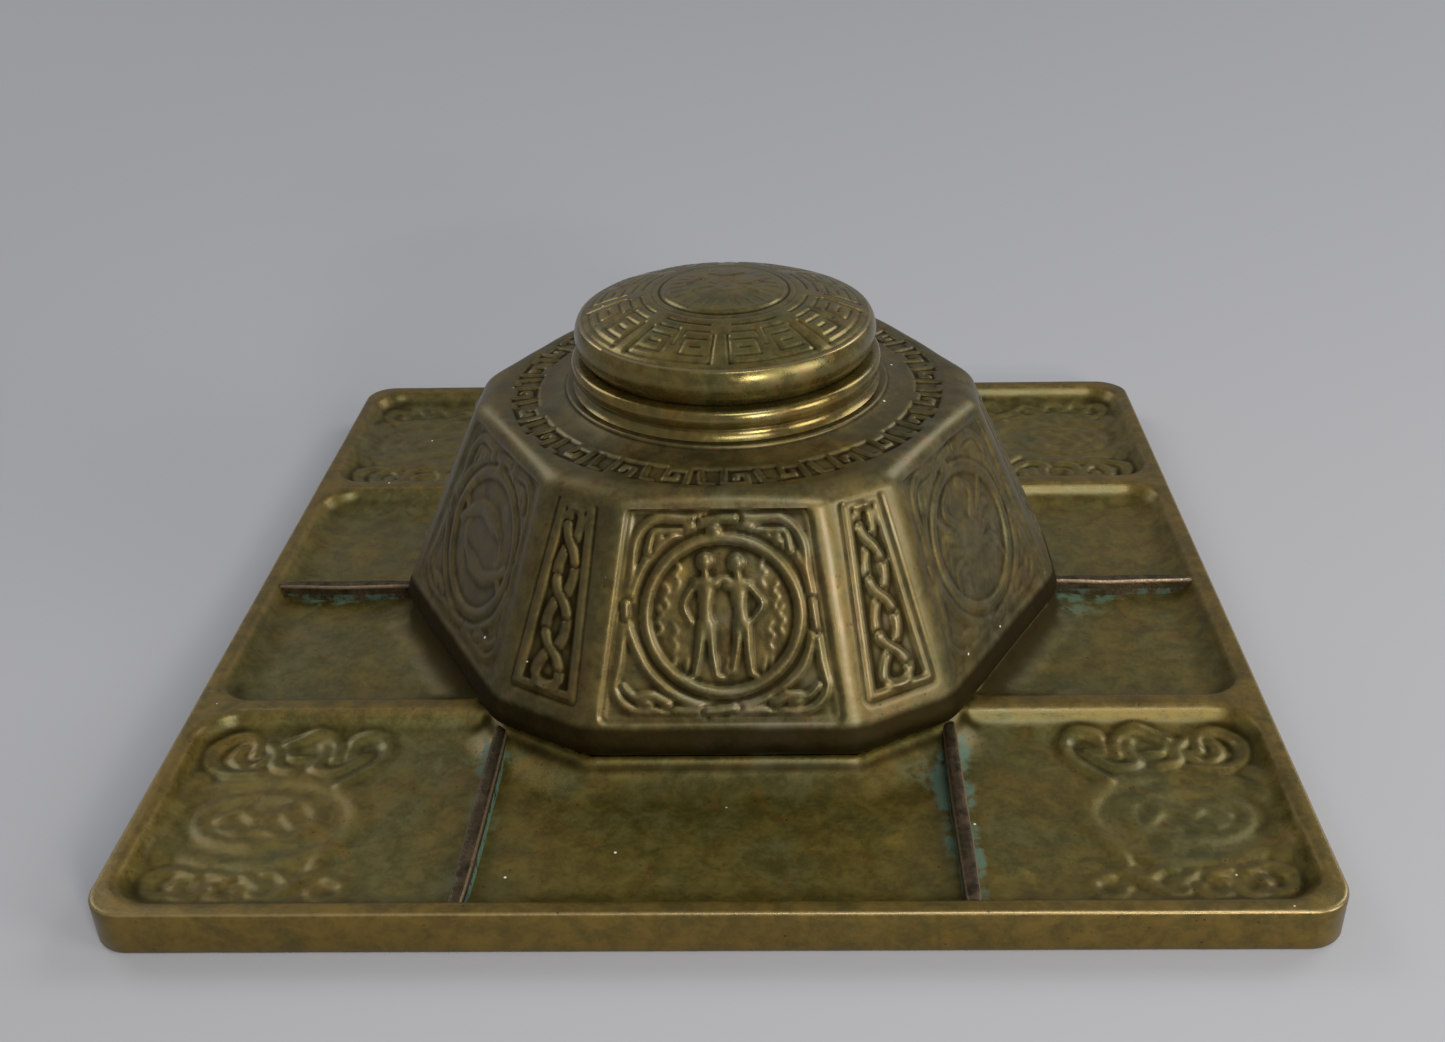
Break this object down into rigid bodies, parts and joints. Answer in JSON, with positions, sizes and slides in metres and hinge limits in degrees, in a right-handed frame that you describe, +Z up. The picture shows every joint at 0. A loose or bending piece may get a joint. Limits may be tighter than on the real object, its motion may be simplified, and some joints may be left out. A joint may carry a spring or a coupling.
{
  "type": "inkwell",
  "caption": "Square bronze pen tray with shallow divided troughs and a raised, many-sided inkwell standing on it, with a domed hinged lid over a loose glass ink pot.",
  "frame": {"origin": "middle of the tray's underside, on the desk", "axes": "+Z up out of the lid, +X to the right and +Y towards the hinge at the back"},
  "size_m": [0.254, 0.254, 0.0939],
  "materials": {
    "tray_bronze": "aged cast bronze, olive-brown patina with worn golden edges and verdigris in the corners",
    "strip_bronze": "copper-toned strip with a purple-brown patina",
    "well_bronze": "aged cast bronze, olive-green patina over relief ornament with rubbed highlights",
    "collar_bronze": "turned bronze, golden-brown, semi-gloss",
    "lid_bronze": "turned and chased bronze, olive-gold, semi-gloss",
    "hinge_bronze": "dark aged bronze",
    "base_bronze": "plain rolled bronze, dull",
    "pin_brass": "bright brass, dulled",
    "pot_glass": "clear pressed glass with a faint green tint"
  },
  "bodies": {
    "tray": {"tray": "tray_bronze", "divider_front_left": "strip_bronze", "divider_front_right": "strip_bronze", "divider_back_left": "strip_bronze", "divider_back_right": "strip_bronze", "divider_left": "strip_bronze", "divider_right": "strip_bronze"},
    "well": {"well_housing": "well_bronze", "neck_ring": "collar_bronze", "hinge_leaf_well": "hinge_bronze", "hinge_pin": "pin_brass", "base_plate": "base_bronze", "base_screws": "pin_brass"},
    "lid": {"lid": "lid_bronze", "hinge_leaf_lid": "hinge_bronze"},
    "ink_pot": {"ink_pot": "pot_glass"}
  },
  "joints": [
    {"name": "well_lift", "type": "slide", "parent": "tray", "child": "well", "axis": [0, 0, 1], "range_m": [0, 0.1]},
    {"name": "lid_hinge", "type": "hinge", "parent": "well", "child": "lid", "pos_m": [0, 0.04085, 0.07716], "axis": [-1, 0, 0], "range_deg": [0, 105]},
    {"name": "pot_lift", "type": "slide", "parent": "well", "child": "ink_pot", "axis": [0, 0, 1], "range_m": [0, 0.004]}
  ]
}
